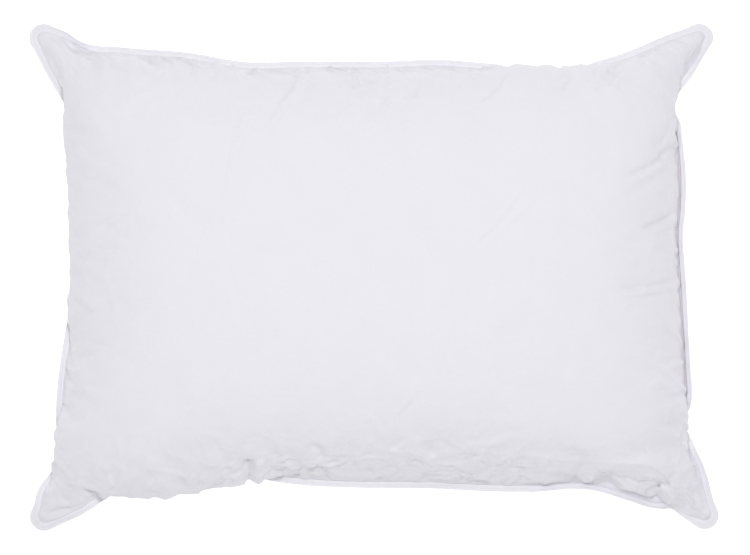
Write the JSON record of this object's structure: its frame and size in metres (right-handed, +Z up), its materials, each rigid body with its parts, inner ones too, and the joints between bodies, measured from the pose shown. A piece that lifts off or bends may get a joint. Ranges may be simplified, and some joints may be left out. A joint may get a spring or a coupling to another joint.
{
  "type": "bed pillow",
  "caption": "Rectangular filled bed pillow with a white cotton cover and a flat sewn edge piping, lying flat, with pulled-in sides and pointed corners.",
  "frame": {"origin": "middle of the face that the pillow rests on", "axes": "+X along the long side towards the end with the filling opening, +Y across the pillow, +Z up through its thickness"},
  "size_m": [0.79, 0.58, 0.204],
  "materials": {
    "cover_cloth": "matt closely woven cotton, cool white",
    "piping_cloth": "matt woven cotton, white, pressed flat",
    "down_fill": "loose down and small feathers, off-white",
    "white_thread": "spun sewing thread, white",
    "ecru_thread": "spun sewing thread, ecru"
  },
  "bodies": {
    "root": {"top_panel": "cover_cloth", "bottom_panel": "cover_cloth", "edge_piping": "piping_cloth", "fill": "down_fill", "seam_needle_thread": "ecru_thread", "seam_bobbin_thread": "ecru_thread", "edge_needle_thread": "white_thread", "edge_bobbin_thread": "white_thread", "closing_needle_thread": "ecru_thread", "closing_bobbin_thread": "ecru_thread"}
  },
  "joints": []
}
